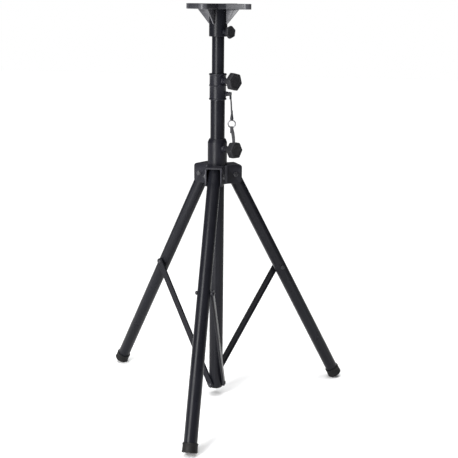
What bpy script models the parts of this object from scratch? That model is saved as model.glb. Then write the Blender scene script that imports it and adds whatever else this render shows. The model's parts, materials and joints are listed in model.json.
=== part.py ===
"""Telescopic loudspeaker stand: tripod base, sliding leg hub, pole and four-armed top plate.

Metres, +Z up. The origin is on the floor, under the middle of the stand's outline, and
the pole's axis stands POLE_Y behind it. Leg 1 points along -Y and the other two stand
120 degrees either side of it. A "station" is the vertical half-plane through the pole's
axis at one azimuth, counted from -Y towards +X. In a station's own frame X points
outwards, Y sideways and Z up.
"""

from math import asin, cos, pi, radians, sin, sqrt

import bmesh
import bpy
from mathutils import Matrix, Vector

GAP = 0.0003                 # clearance kept between touching pieces
POLE_Y = 0.1029              # puts the origin under the middle of the three feet's outline
LEG_STATIONS = [radians(a) for a in (0, 120, 240)]

# Tubes
TUBE_R = 0.021               # outer tube of the pole
TUBE_WALL = 0.002
TUBE_LOW = 0.030
TUBE_TOP = 0.985
MAST_R = 0.0175              # inner, telescopic tube
MAST_WALL = 0.0015
MAST_LOW = 0.200
MAST_TOP = 1.166
LEG_R = 0.019
LEG_WALL = 0.0012

# Tripod linkage
HUB_PIVOT_R = 0.0485         # leg pivot's distance from the pole's axis
HUB_PIVOT_Z = 0.6985
LEG_TILT = radians(28.08)    # from the vertical, legs open
LEG_ABOVE_PIVOT = 0.015
BRACE_ON_LEG = 0.343         # from the leg's pivot, along the leg
BRACE_FOOT_Z = 0.038         # brace pivots cross the pole's axis at this height
BRACE_IN = TUBE_R + 0.0007   # brace's near face, sideways from the pole's axis
BRACE_OUT = BRACE_IN + 0.0065
BRACE_HALF = 0.010
BRACE_SKIN = 0.0018
FOOT_R = 0.0220
FOOT_LENGTH = 0.027
FOOT_CHAMFER = 0.002
FOOT_END = (HUB_PIVOT_Z - (FOOT_R - FOOT_CHAMFER) * sin(LEG_TILT)) / cos(LEG_TILT)

# Hub
HUB_LOW = 0.671
HUB_TOP = 0.727
SLEEVE_R = 0.0284
SLEEVE_BORE = 0.0226
SLEEVE_TOP = 0.803
CHANNEL_HALF = 0.025
CHANNEL_WALL = 0.0045
CHANNEL_OUT = 0.069
HUB_BOLT_R = 0.004
BRACE_BOLT_R = 0.003

# Collar, knobs and pin
COLLAR_R = 0.0240
COLLAR_LIP = 0.0256
COLLAR_LOW = 0.916
COLLAR_TOP = 0.991
PIN_Z = 0.9335
PIN_STATION = radians(85)
PIN_R = 0.003
PIN_END = 0.0406
PIN_GRIP_R = 0.0060

# Top plate
SOCKET_R = 0.026
SOCKET_LOW = 1.095
PLATE_LOW = 1.1705
PLATE_TOP = 1.186
PLATE_SKIN = 0.003
PLATE_CEILING = PLATE_TOP - PLATE_SKIN
ARM_HALF = 0.014
ARM_TAPER = 0.0012           # extra half-width at an arm's root
ARM_REACH = 0.102
ARM_STATION = radians(71.6)
ARM_SLOT_HALF = 0.004

# Lanyard
RING_Z = 0.847
RING_R = 0.0105
RING_WIRE = 0.0019
RING_STATION = radians(88)
RING_REACH = 0.042           # from the pole's axis
CORD_R = 0.0024
CORD_REACH = 0.038           # where it leaves the pin
STRAP_WIDTH = 0.010
STRAP_THICKNESS = 0.0016
UPPER_KNOB_STATION = radians(54.6)
UPPER_KNOB_Z = 0.9714
LOWER_KNOB_STATION = radians(54.6)
LOWER_KNOB_Z = 0.7762
TOP_KNOB_STATION = radians(54.6)
TOP_KNOB_Z = 1.108

HUB_POS = Vector((HUB_PIVOT_R, 0, HUB_PIVOT_Z))
UPRIGHT = Matrix.Translation((0, POLE_Y, 0))


# ---------------------------------------------------------------- scene and materials

def clear_scene():
    for obj in list(bpy.data.objects):
        bpy.data.objects.remove(obj, do_unlink=True)


def make_collection(name):
    collection = bpy.data.collections.new(name)
    bpy.context.scene.collection.children.link(collection)
    return collection


def make_material(name, colour, roughness, metallic):
    material = bpy.data.materials.new(name)
    material.use_nodes = True
    shader = material.node_tree.nodes["Principled BSDF"]
    shader.inputs["Base Color"].default_value = (*colour, 1)
    shader.inputs["Roughness"].default_value = roughness
    shader.inputs["Metallic"].default_value = metallic
    material.diffuse_color = (*colour, 1)
    return material


clear_scene()
PARTS = make_collection("speaker_stand")
CUTTERS = make_collection("cutters")
COATED = make_material("coated_steel", (0.022, 0.022, 0.025), 0.38, 0.2)
BLACKED = make_material("black_fastener", (0.03, 0.03, 0.033), 0.4, 0.6)
CAST = make_material("coated_casting", (0.028, 0.028, 0.031), 0.45, 0.2)
PLASTIC = make_material("black_plastic", (0.018, 0.018, 0.020), 0.55, 0.0)
RUBBER = make_material("black_rubber", (0.015, 0.015, 0.015), 0.8, 0.0)
ZINC = make_material("zinc_plated", (0.45, 0.45, 0.47), 0.35, 1.0)
CORD = make_material("black_cord", (0.03, 0.03, 0.033), 0.85, 0.0)


# ---------------------------------------------------------------- frames

def station(azimuth):
    """Frame with X outwards along the azimuth, Y sideways and Z up."""
    return UPRIGHT @ Matrix.Rotation(azimuth - pi / 2, 4, "Z")


def leg_frame(azimuth):
    """Origin on the leg's pivot, -Z down the open leg."""
    return station(azimuth) @ Matrix.Translation(HUB_POS) @ Matrix.Rotation(-LEG_TILT, 4, "Y")


def brace_top():
    """Radius and height of the brace's upper pivot, legs open."""
    radius = HUB_PIVOT_R + BRACE_ON_LEG * sin(LEG_TILT)
    height = HUB_PIVOT_Z - BRACE_ON_LEG * cos(LEG_TILT)
    return radius, height


def brace_length():
    radius, height = brace_top()
    return sqrt(radius ** 2 + (height - BRACE_FOOT_Z) ** 2)


def brace_frame(azimuth):
    """Origin on the brace's lower pivot, +Z up the brace."""
    lean = asin(brace_top()[0] / brace_length())
    low = Matrix.Translation((0, 0, BRACE_FOOT_Z))
    return station(azimuth) @ low @ Matrix.Rotation(lean, 4, "Y")


def radial_frame(azimuth, height):
    """Origin on the pole's axis, +Z outwards along the azimuth."""
    lift = Matrix.Translation((0, 0, height))
    return station(azimuth) @ lift @ Matrix.Rotation(pi / 2, 4, "Y")


SIDEWAYS = Matrix.Rotation(-pi / 2, 4, "X")      # turns +Z to a station's +Y


# ---------------------------------------------------------------- shape helpers

def add_object(name, mesh, frame, material=None, collection=None):
    obj = bpy.data.objects.new(name, mesh)
    (collection or PARTS).objects.link(obj)
    obj.matrix_world = frame
    if material:
        mesh.materials.append(material)
    return obj


def baked(obj):
    """The object's evaluated mesh, with its loose seams welded."""
    bpy.context.view_layer.update()
    graph = bpy.context.evaluated_depsgraph_get()
    mesh = bpy.data.meshes.new_from_object(obj.evaluated_get(graph))
    bpy.data.objects.remove(obj, do_unlink=True)
    work = bmesh.new()
    work.from_mesh(mesh)
    bmesh.ops.remove_doubles(work, verts=work.verts, dist=0.00001)
    bmesh.ops.recalc_face_normals(work, faces=work.faces)
    work.to_mesh(mesh)
    work.free()
    return mesh


def smooth(obj, angle=40):
    obj.data.shade_smooth()
    obj.data.set_sharp_from_angle(angle=radians(angle))
    return obj


def turned(name, profile, frame, material=None, steps=24, closed=True, collection=None):
    """Solid of revolution about +Z. The profile is (radius, z), down the outer side.

    A closed profile makes a ring; an open one starts and ends on the axis.
    """
    mesh = bpy.data.meshes.new(name)
    edges = [(i, i + 1) for i in range(len(profile) - 1)]
    if closed:
        edges.append((len(profile) - 1, 0))
    mesh.from_pydata([(r, 0, z) for r, z in profile], edges, [])
    obj = add_object(name, mesh, Matrix.Identity(4))
    screw = obj.modifiers.new("turn", "SCREW")
    screw.steps = screw.render_steps = steps
    screw.use_merge_vertices = True
    screw.merge_threshold = 0.00001
    return smooth(add_object(name, baked(obj), frame, material, collection))


def rod(name, radius, low, high, frame, material=None, steps=16, collection=None):
    """Plain round bar along Z."""
    profile = [(0, high), (radius, high), (radius, low), (0, low)]
    return turned(name, profile, frame, material, steps, False, collection)


def pipe(name, outer, inner, low, high, frame, material=None, steps=24):
    """Round tube along Z."""
    profile = [(outer, high), (outer, low), (inner, low), (inner, high)]
    return turned(name, profile, frame, material, steps)


def slab(name, outline, thickness, frame, material=None, collection=None):
    """Flat outline in local XY, extruded by its thickness about z = 0."""
    curve = bpy.data.curves.new(name, "CURVE")
    curve.dimensions = "2D"
    curve.fill_mode = "BOTH"
    curve.extrude = thickness / 2
    spline = curve.splines.new("POLY")
    spline.points.add(len(outline) - 1)
    for point, (x, y) in zip(spline.points, outline):
        point.co = (x, y, 0, 1)
    spline.use_cyclic_u = True
    obj = bpy.data.objects.new(name, curve)
    PARTS.objects.link(obj)
    mesh = baked(obj)
    merge_flat_faces(mesh)
    return smooth(add_object(name, mesh, frame, material, collection))


def merge_flat_faces(mesh):
    """Turn each triangulated flat end into one face."""
    work = bmesh.new()
    work.from_mesh(mesh)
    bmesh.ops.dissolve_limit(work, angle_limit=radians(0.5), verts=work.verts, edges=work.edges)
    work.to_mesh(mesh)
    work.free()


def box(name, low, high, frame):
    """Cutting block between two corners."""
    work = bmesh.new()
    bmesh.ops.create_cube(work, size=1)
    size = [b - a for a, b in zip(low, high)]
    centre = [(a + b) / 2 for a, b in zip(low, high)]
    bmesh.ops.scale(work, vec=size, verts=work.verts)
    bmesh.ops.translate(work, vec=centre, verts=work.verts)
    mesh = bpy.data.meshes.new(name)
    work.to_mesh(mesh)
    work.free()
    return add_object(name, mesh, frame, collection=CUTTERS)


def combine(obj, other, operation):
    if operation == "UNION":
        PARTS.objects.unlink(other)
        CUTTERS.objects.link(other)
    other.hide_render = True
    other.display_type = "WIRE"
    modifier = obj.modifiers.new(operation.lower(), "BOOLEAN")
    modifier.operation = operation
    modifier.object = other
    return obj


def cut(obj, *cutters):
    for cutter in cutters:
        combine(obj, cutter, "DIFFERENCE")
    return obj


def bevelled(obj, width):
    bevel = obj.modifiers.new("edges", "BEVEL")
    bevel.width = width
    bevel.segments = 1
    bevel.angle_limit = radians(50)
    return obj


def arc(cx, cy, radius, start, end, count):
    """Points of an arc, angles in radians, both ends included."""
    turn = [start + (end - start) * i / (count - 1) for i in range(count)]
    return [(cx + radius * cos(a), cy + radius * sin(a)) for a in turn]


def stadium(x0, x1, half, count=9):
    """Long outline with round ends, centred at x0 and x1."""
    return arc(x1, 0, half, -pi / 2, pi / 2, count) + arc(x0, 0, half, pi / 2, 3 * pi / 2, count)


# ---------------------------------------------------------------- pole

def build_pole():
    tube = pipe("main_tube", TUBE_R, TUBE_R - TUBE_WALL, TUBE_LOW, TUBE_TOP, UPRIGHT, COATED, 36)
    cut(tube, rod("pin_hole_tube", PIN_R + 0.0004, 0.012, 0.030,
                  radial_frame(PIN_STATION, PIN_Z), collection=CUTTERS))
    bore = TUBE_R - TUBE_WALL - GAP
    plug = [(bore, 0.070), (bore, TUBE_LOW - GAP), (TUBE_R, TUBE_LOW - GAP), (TUBE_R, 0.027),
            (TUBE_R - 0.002, 0.025), (0.010, 0.025), (0.010, 0.070)]
    turned("bottom_plug", plug, UPRIGHT, PLASTIC)
    build_collar()
    for number, azimuth in enumerate(LEG_STATIONS, 1):
        side = station(azimuth) @ Matrix.Translation((0, 0, BRACE_FOOT_Z)) @ SIDEWAYS
        brace_pin(f"brace_foot_screw_{number}", TUBE_R + 0.0004, side)


def build_collar():
    bore = TUBE_R + GAP
    lip = COLLAR_LIP
    profile = [
        (MAST_R + 0.0007, COLLAR_TOP), (lip - 0.001, COLLAR_TOP), (lip, COLLAR_TOP - 0.001),
        (lip, 0.9865), (COLLAR_R, 0.9855), (COLLAR_R, 0.9595), (lip, 0.9585),
        (lip, 0.9560), (COLLAR_R, 0.9550), (COLLAR_R, 0.9205), (lip, 0.9195),
        (lip, COLLAR_LOW + 0.001), (lip - 0.001, COLLAR_LOW), (bore, COLLAR_LOW),
        (bore, 0.9878), (MAST_R + 0.0007, 0.9878),
    ]
    collar = turned("upper_collar", profile, UPRIGHT, PLASTIC, 32)
    cut(collar, rod("pin_hole_collar", PIN_R + 0.0004, 0.012, 0.030,
                    radial_frame(PIN_STATION, PIN_Z), collection=CUTTERS))
    guide = [(TUBE_R - GAP, 0.9875), (TUBE_R - GAP, TUBE_TOP + GAP), (0.0187, TUBE_TOP + GAP),
             (0.0187, 0.950), (MAST_R + GAP, 0.950), (MAST_R + GAP, 0.9875)]
    turned("guide_bush", guide, UPRIGHT, PLASTIC)
    pipe("upper_knob_boss", 0.0085, 0.0044, COLLAR_LIP + GAP, 0.0355,
         radial_frame(UPPER_KNOB_STATION, UPPER_KNOB_Z), PLASTIC, 20)
    pipe("pin_boss", 0.0068, PIN_R + 0.0004, COLLAR_R + 0.0012, 0.0300,
         radial_frame(PIN_STATION, PIN_Z), PLASTIC, 20)


def brace_pin(name, start, frame):
    """Spacer, shank and round head that carry one end of a brace."""
    web_in = BRACE_OUT - BRACE_SKIN
    profile = [(0, BRACE_OUT + 0.0028), (0.0045, BRACE_OUT + 0.0028), (0.0062, BRACE_OUT + 0.0014),
               (0.0062, BRACE_OUT + GAP), (BRACE_BOLT_R, BRACE_OUT + GAP),
               (BRACE_BOLT_R, web_in - GAP), (0.0060, web_in - GAP), (0.0060, start), (0, start)]
    return turned(name, profile, frame, BLACKED, 16, False)


# ---------------------------------------------------------------- hub

def build_hub():
    lip = TUBE_R + GAP
    profile = [
        (SLEEVE_R - 0.0045, SLEEVE_TOP), (SLEEVE_R, SLEEVE_TOP - 0.010), (SLEEVE_R, HUB_LOW + 0.001),
        (SLEEVE_R - 0.001, HUB_LOW), (SLEEVE_BORE, HUB_LOW),
        (SLEEVE_BORE, SLEEVE_TOP - 0.0045), (lip, SLEEVE_TOP - 0.0045), (lip, SLEEVE_TOP),
    ]
    turned("hub_sleeve", profile, UPRIGHT, CAST, 36)
    pipe("sleeve_bush", SLEEVE_BORE - GAP, TUBE_R + GAP, HUB_LOW + 0.002,
         SLEEVE_TOP - 0.0048, UPRIGHT, PLASTIC, 32)
    pipe("lower_knob_boss", 0.009, 0.0044, SLEEVE_R + 0.0010, 0.0400,
         radial_frame(LOWER_KNOB_STATION, LOWER_KNOB_Z), CAST, 20)
    for number, azimuth in enumerate(LEG_STATIONS, 1):
        build_channel(number, azimuth)
        build_web(number, azimuth + LEG_STATIONS[1] / 2)
        build_hub_bolt(number, azimuth)


def build_channel(number, azimuth):
    """Downward-open channel that a leg folds in, with a bolt hole through both cheeks."""
    here = station(azimuth)
    outline = [(0.015, HUB_LOW), (0.062, HUB_LOW), (CHANNEL_OUT, 0.678), (CHANNEL_OUT, 0.721),
               (0.063, HUB_TOP), (0.015, HUB_TOP)]
    on_side = here @ Matrix.Rotation(pi / 2, 4, "X")
    channel = slab(f"leg_channel_{number}", outline, 2 * CHANNEL_HALF, on_side, CAST)
    inner = CHANNEL_HALF - CHANNEL_WALL
    hollow = box(f"channel_hollow_{number}", (-0.01, -inner, 0.650),
                 (0.080, inner, HUB_TOP - CHANNEL_WALL), here)
    bore = rod(f"channel_bore_{number}", SLEEVE_R + GAP, 0.650, 0.750, here, None, 36, CUTTERS)
    hole = rod(f"channel_hole_{number}", HUB_BOLT_R + GAP, -0.040, 0.040,
               here @ Matrix.Translation(HUB_POS) @ SIDEWAYS, collection=CUTTERS)
    return cut(channel, hollow, bore, hole)


def build_web(number, azimuth):
    """Small gusset that fills the corner between two channels."""
    spread = radians(11.2)
    outer = 0.034
    corners = [(0.0297, 0), (outer * cos(spread), -outer * sin(spread)),
               (outer * cos(spread), outer * sin(spread))]
    middle = Matrix.Translation((0, 0, (HUB_LOW + HUB_TOP) / 2))
    height = HUB_TOP - HUB_LOW - 0.002
    return slab(f"hub_web_{number}", corners, height, station(azimuth) @ middle, CAST)


def build_hub_bolt(number, azimuth):
    """Hexagon bolt through a channel, and its nut on the other cheek."""
    here = station(azimuth) @ Matrix.Translation(HUB_POS) @ SIDEWAYS
    face = CHANNEL_HALF + GAP
    profile = [(0, face + 0.005), (0.0065, face + 0.005), (0.0075, face + 0.004), (0.0075, face),
               (HUB_BOLT_R, face), (HUB_BOLT_R, -0.0325), (0, -0.0325)]
    turned(f"hub_bolt_{number}", profile, here, BLACKED, 12, False)
    nut = [(0.0065, -face), (0.0075, -face - 0.001), (0.0075, -face - 0.004),
           (0.0065, -face - 0.005), (HUB_BOLT_R + GAP, -face - 0.005), (HUB_BOLT_R + GAP, -face)]
    turned(f"hub_nut_{number}", nut, here, BLACKED, 12)


# ---------------------------------------------------------------- legs and braces

def build_leg(number, azimuth):
    here = leg_frame(azimuth)
    tube = pipe(f"leg_tube_{number}", LEG_R, LEG_R - LEG_WALL, 0.006 - FOOT_END,
                LEG_ABOVE_PIVOT, here, COATED, 32)
    on_leg = Matrix.Translation((0, 0, -BRACE_ON_LEG)) @ SIDEWAYS
    cut(tube,
        rod(f"leg_notch_{number}", SLEEVE_R + 0.001, 0.600, 0.800, station(azimuth), None, 36, CUTTERS),
        rod(f"leg_pivot_hole_{number}", HUB_BOLT_R + GAP, -0.03, 0.03, here @ SIDEWAYS,
            collection=CUTTERS),
        rod(f"leg_brace_hole_{number}", BRACE_BOLT_R + GAP, -0.03, 0.03, here @ on_leg,
            collection=CUTTERS))
    inside = LEG_R + GAP
    low = -FOOT_END
    boot = [(inside, low + FOOT_LENGTH), (FOOT_R - 0.0005, low + FOOT_LENGTH),
            (FOOT_R, low + FOOT_LENGTH - 0.002), (FOOT_R, low + FOOT_CHAMFER),
            (FOOT_R - FOOT_CHAMFER, low), (0, low), (0, low + 0.0055), (inside, low + 0.0055)]
    turned_cup(f"leg_foot_{number}", boot, here)
    bolt = [(0, LEG_R), (BRACE_BOLT_R, LEG_R), (BRACE_BOLT_R, -LEG_R - 0.0004),
            (0.0058, -LEG_R - 0.0004), (0.0058, -LEG_R - 0.0040), (0.0045, -LEG_R - 0.0062),
            (0, -LEG_R - 0.0062)]
    turned(f"leg_bolt_{number}", bolt, here @ on_leg, BLACKED, 16, False)


def turned_cup(name, profile, frame):
    """Rubber boot: its profile runs from the rim, down the outside and back up the inside."""
    rim = profile[0]
    outside = profile[1:6]
    inside = profile[6:]
    return turned(name, [(0, inside[0][1]), inside[1], rim] + outside, frame, RUBBER, 28, False)


def build_brace(number, azimuth):
    """Flat channel-section brace, hinged low on the pole."""
    here = brace_frame(azimuth)
    length = brace_length()
    depth = BRACE_OUT - BRACE_IN
    # The outline's X runs up the brace and its thickness runs sideways.
    flat = here @ Matrix.Rotation(-pi / 2, 4, "Y") @ Matrix.Rotation(pi / 2, 4, "X")
    middle = flat @ Matrix.Translation((0, 0, -(BRACE_IN + BRACE_OUT) / 2))
    bar = slab(f"brace_{number}", stadium(0, length, BRACE_HALF), depth, middle, COATED)
    pocket_middle = -(BRACE_IN + BRACE_OUT - BRACE_SKIN) / 2 + 0.001
    pocket = slab(f"brace_pocket_{number}",
                  stadium(0, length, BRACE_HALF - BRACE_SKIN), depth - BRACE_SKIN + 0.002,
                  flat @ Matrix.Translation((0, 0, pocket_middle)), collection=CUTTERS)
    holes = []
    for end in (0, length):
        frame = here @ Matrix.Translation((0, 0, end)) @ SIDEWAYS
        name = f"brace_hole_{number}_{'top' if end else 'foot'}"
        holes.append(rod(name, BRACE_BOLT_R + GAP, 0.015, 0.035, frame, collection=CUTTERS))
    cut(bar, pocket, *holes)
    top = here @ Matrix.Translation((0, 0, length)) @ SIDEWAYS
    brace_pin(f"brace_rivet_{number}", LEG_R + 0.0006, top)


# ---------------------------------------------------------------- mast and top plate

def build_mast():
    tube = pipe("inner_tube", MAST_R, MAST_R - MAST_WALL, MAST_LOW, MAST_TOP, UPRIGHT, COATED, 32)
    for step in range(4):
        height = PIN_Z - 0.100 * step
        cut(tube, rod(f"mast_hole_{step}", 0.0040, 0.010, 0.025,
                      radial_frame(PIN_STATION, height), collection=CUTTERS))
    pipe("slider_ring", TUBE_R - TUBE_WALL - GAP, MAST_R + GAP, 0.205, 0.235, UPRIGHT, PLASTIC, 28)


def build_top_plate():
    pipe("plate_socket", SOCKET_R, 0.0228, SOCKET_LOW, PLATE_CEILING - GAP, UPRIGHT, COATED, 36)
    pipe("socket_bush", 0.0225, MAST_R + GAP, SOCKET_LOW + 0.001, 1.165, UPRIGHT, PLASTIC, 32)
    pipe("top_knob_boss", 0.0065, 0.0034, SOCKET_R + 0.0008, 0.0352,
         radial_frame(TOP_KNOB_STATION, TOP_KNOB_Z), COATED, 20)
    arms = station(ARM_STATION)
    middle = (PLATE_LOW + PLATE_TOP) / 2
    plate = slab("top_plate", cross_outline(0), PLATE_TOP - PLATE_LOW,
                 arms @ Matrix.Translation((0, 0, middle)), CAST)
    hollow_height = PLATE_CEILING - PLATE_LOW + 0.002
    hollow_middle = PLATE_LOW - 0.002 + hollow_height / 2
    cut(plate, slab("plate_hollow", cross_outline(0.003), hollow_height,
                    arms @ Matrix.Translation((0, 0, hollow_middle)), collection=CUTTERS))
    for k in range(4):
        azimuth = ARM_STATION + k * pi / 2
        slot = stadium(0.056, 0.086, ARM_SLOT_HALF, 7)
        cut(plate, slab(f"arm_slot_{k + 1}", slot, 0.020,
                        station(azimuth) @ Matrix.Translation((0, 0, PLATE_TOP)),
                        collection=CUTTERS))
        build_rib(k + 1, azimuth)


def turn_points(points, angle):
    return [(x * cos(angle) - y * sin(angle), x * sin(angle) + y * cos(angle)) for x, y in points]


def cross_outline(inset):
    """Four slightly tapered arms with round tips, chamfered where they meet."""
    half = ARM_HALF - inset
    root = half + ARM_TAPER
    tip = arc(ARM_REACH - ARM_HALF, 0, half, -pi / 2, pi / 2, 9)
    corner = ARM_HALF + 0.018 - inset * (sqrt(2) - 1)
    quarter = [(corner, -root)] + tip + [(corner, root)]
    points = []
    for k in range(4):
        points += turn_points(quarter, k * pi / 2)
    return points


def build_rib(number, azimuth):
    """Triangular rib between the socket and the underside of one arm."""
    reach = 0.066
    near = SOCKET_R + GAP
    ceiling = PLATE_CEILING - GAP
    outline = [(near, 1.130), (near + 0.004, 1.130), (reach, PLATE_LOW), (reach, ceiling - 0.004),
               (0.052, ceiling - 0.004), (0.052, ceiling), (near, ceiling)]
    on_side = station(azimuth) @ Matrix.Rotation(pi / 2, 4, "X")
    return slab(f"plate_rib_{number}", outline, 0.004, on_side, CAST)


# ---------------------------------------------------------------- knobs and pin

def grip_outline(apothem, lean, corner=0.0035):
    """Hexagon with round corners, its flats square to local X before it leans."""
    reach = (apothem - corner) / cos(pi / 6)
    points = []
    for k in range(6):
        turn = lean + pi / 6 + pi / 3 * k
        points += arc(reach * cos(turn), reach * sin(turn), corner, turn - pi / 6, turn + pi / 6, 5)
    return points


def build_knob(name, frame, start, neck, grip_size, stud_r, stud_start, lean=0.0):
    """Clamping knob: hexagonal grip with a neck, and the stud moulded into it.

    The neck is (radius, length) and the grip (half-width across flats, thickness); the
    start is the neck's near end, outwards from the pole's axis. The lean is where the knob
    was left when it was last tightened.
    """
    neck_r, neck_length = neck
    apothem, thickness = grip_size
    face = start + neck_length
    grip = slab(f"{name}_grip", grip_outline(apothem, lean), thickness,
                frame @ Matrix.Translation((0, 0, face + thickness / 2)), PLASTIC)
    bevelled(grip, 0.0015)
    ring = rod(f"{name}_neck", neck_r, start, face + thickness / 2, frame, None, 20)
    combine(grip, ring, "UNION")
    stud_end = face + 0.0080
    cut(grip, rod(f"{name}_socket", stud_r + GAP, start - 0.002, stud_end, frame,
                  collection=CUTTERS))
    rod(f"{name}_stud", stud_r, stud_start, stud_end - GAP, frame, ZINC, 12)


def build_knobs():
    upper = radial_frame(UPPER_KNOB_STATION, UPPER_KNOB_Z)
    build_knob("upper_knob", upper, 0.0358, (0.0085, 0.0197), (0.0232, 0.0180), 0.004, 0.0250,
               radians(-13))
    lower = radial_frame(LOWER_KNOB_STATION, LOWER_KNOB_Z)
    build_knob("lower_knob", lower, 0.0403, (0.0085, 0.0186), (0.0220, 0.0210), 0.004, 0.0290,
               radians(-2))
    top = radial_frame(TOP_KNOB_STATION, TOP_KNOB_Z)
    build_knob("top_knob", top, 0.0355, (0.0065, 0.0075), (0.0160, 0.0105), 0.003, 0.0265,
               radians(20))


def build_safety_pin():
    """Locking pin with a grooved grip. Its tip waits just outside the inner tube."""
    profile = [(0, PIN_END)]
    for low, high in ((0.0382, PIN_END), (0.0344, 0.0368), (0.0303, 0.0330)):
        profile += [(PIN_GRIP_R, high), (PIN_GRIP_R, low), (0.0050, low)]
        if low > 0.0303:
            profile.append((0.0050, low - 0.0014))
    profile += [(PIN_R, 0.0303), (PIN_R, 0.0182), (0, 0.0182)]
    turned("safety_pin", profile, radial_frame(PIN_STATION, PIN_Z), BLACKED, 16, False)


# ---------------------------------------------------------------- lanyard

def around_pole(azimuth, reach, height):
    """Point at a distance from the pole's axis, towards an azimuth."""
    return Vector((reach * sin(azimuth), POLE_Y - reach * cos(azimuth), height))


def build_lanyard():
    """Cord from the pin, a split ring, and a strap that goes down to the lower knob's neck."""
    top = around_pole(PIN_STATION, CORD_REACH, PIN_Z - PIN_GRIP_R - GAP)
    ring_half = RING_R + RING_WIRE + GAP
    low = around_pole(RING_STATION, RING_REACH, RING_Z + ring_half)
    curve = bpy.data.curves.new("lanyard_cord", "CURVE")
    curve.dimensions = "3D"
    curve.bevel_depth = CORD_R
    curve.bevel_resolution = 2
    curve.use_fill_caps = True
    spline = curve.splines.new("POLY")
    count = 9
    spline.points.add(count - 1)
    for i, point in enumerate(spline.points):
        point.co = (*top.lerp(low, i / (count - 1)), 1)
    cord = bpy.data.objects.new("lanyard_cord", curve)
    PARTS.objects.link(cord)
    smooth(add_object("lanyard_cord", baked(cord), Matrix.Identity(4), CORD))
    build_ring(around_pole(RING_STATION, RING_REACH, RING_Z))
    build_strap(around_pole(RING_STATION, RING_REACH, RING_Z - ring_half))


def build_ring(centre):
    bpy.ops.mesh.primitive_torus_add(major_radius=RING_R, minor_radius=RING_WIRE,
                                     major_segments=24, minor_segments=8)
    ring = bpy.context.object
    ring.name = ring.data.name = "lanyard_ring"
    for collection in list(ring.users_collection):
        collection.objects.unlink(ring)
    PARTS.objects.link(ring)
    ring.data.materials.append(ZINC)
    facing = Matrix.Rotation(radians(9.6), 4, "Z") @ Matrix.Rotation(pi / 2, 4, "X")
    ring.matrix_world = Matrix.Translation(centre) @ facing
    smooth(ring)


def build_strap(top):
    """Webbing tail from the ring to the side of the lower knob's neck, bowed outwards."""
    lower_knob = radial_frame(LOWER_KNOB_STATION, LOWER_KNOB_Z)
    end = lower_knob @ Vector((0, 0.0102, 0.0530))
    down = (end - top).normalized()
    along_neck = (lower_knob.to_3x3() @ Vector((0, 0, 1))).cross(down).cross(down).normalized()
    # Local X runs down the strap, Y across its thickness and Z across its width.
    frame = Matrix((down, along_neck.cross(down), along_neck)).transposed().to_4x4()
    frame.translation = top
    length = (end - top).length
    half = STRAP_THICKNESS / 2
    steps = 8
    bow = [(length * i / steps, 0.006 * sin(pi * i / steps)) for i in range(steps + 1)]
    near = [(x, y - half) for x, y in bow]
    far = [(x, y + half) for x, y in reversed(bow)]
    slab("lanyard_strap", near + far, STRAP_WIDTH, frame, CORD)


build_pole()
build_hub()
for leg_number, leg_azimuth in enumerate(LEG_STATIONS, 1):
    build_leg(leg_number, leg_azimuth)
    build_brace(leg_number, leg_azimuth)
build_mast()
build_top_plate()
build_knobs()
build_safety_pin()
build_lanyard()
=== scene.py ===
"""Looks of the telescopic loudspeaker stand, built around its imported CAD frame."""

import json
from math import asin, cos, pi, radians, sin, sqrt

import bmesh
import bpy
from mathutils import Matrix, Vector


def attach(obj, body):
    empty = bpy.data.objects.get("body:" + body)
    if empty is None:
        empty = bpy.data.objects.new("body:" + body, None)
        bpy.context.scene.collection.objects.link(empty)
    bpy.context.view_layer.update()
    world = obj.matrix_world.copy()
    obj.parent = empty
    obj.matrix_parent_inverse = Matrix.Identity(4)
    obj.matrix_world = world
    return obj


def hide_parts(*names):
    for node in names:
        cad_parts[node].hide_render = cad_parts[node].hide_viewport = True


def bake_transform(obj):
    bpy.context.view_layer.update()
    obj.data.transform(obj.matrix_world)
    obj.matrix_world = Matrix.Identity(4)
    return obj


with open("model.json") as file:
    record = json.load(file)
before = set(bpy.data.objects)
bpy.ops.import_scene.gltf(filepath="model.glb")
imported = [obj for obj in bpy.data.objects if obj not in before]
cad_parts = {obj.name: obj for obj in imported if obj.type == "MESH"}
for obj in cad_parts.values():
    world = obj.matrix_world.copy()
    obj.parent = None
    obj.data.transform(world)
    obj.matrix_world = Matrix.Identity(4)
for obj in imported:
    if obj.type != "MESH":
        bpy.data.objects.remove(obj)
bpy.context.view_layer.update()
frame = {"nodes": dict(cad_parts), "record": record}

# Sizes shared with the CAD source, in metres
POLE_Y = 0.1029
LEG_STATIONS = [radians(a) for a in (0, 120, 240)]
GAP = 0.0003                         # between parts that don't touch
TUBE_R = 0.021
TUBE_WALL = 0.002
MAST_R = 0.0175
MAST_WALL = 0.0015
LEG_R = 0.019
HUB_PIVOT_R = 0.0485
HUB_PIVOT_Z = 0.6985
LEG_TILT = radians(28.08)
BRACE_ON_LEG = 0.343
BRACE_FOOT_Z = 0.038
BRACE_IN = 0.0217
BRACE_OUT = 0.0282
BRACE_HALF = 0.010
BRACE_SKIN = 0.0018
FOOT_R = 0.0220
FOOT_LENGTH = 0.027
FOOT_CHAMFER = 0.002
FOOT_END = (HUB_PIVOT_Z - (FOOT_R - FOOT_CHAMFER) * sin(LEG_TILT)) / cos(LEG_TILT)
HUB_LOW = 0.671
HUB_TOP = 0.727
SLEEVE_R = 0.0284
SLEEVE_TOP = 0.803
SLEEVE_LINER_R = 0.0223
CHANNEL_HALF = 0.025
CASTING_WALL = 0.0045
HUB_BOLT_R = 0.0040
COLLAR_R = 0.0240
COLLAR_LIP = 0.0256
COLLAR_LOW = 0.916
COLLAR_TOP = 0.991
COLLAR_CEILING = 0.9878              # where the throat round the mast begins
PIN_Z = 0.9335
PIN_STATION = radians(85)
SOCKET_R = 0.026
SOCKET_LOW = 1.095
SOCKET_LINER_R = 0.0225
PLATE_LOW = 1.1705
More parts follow.
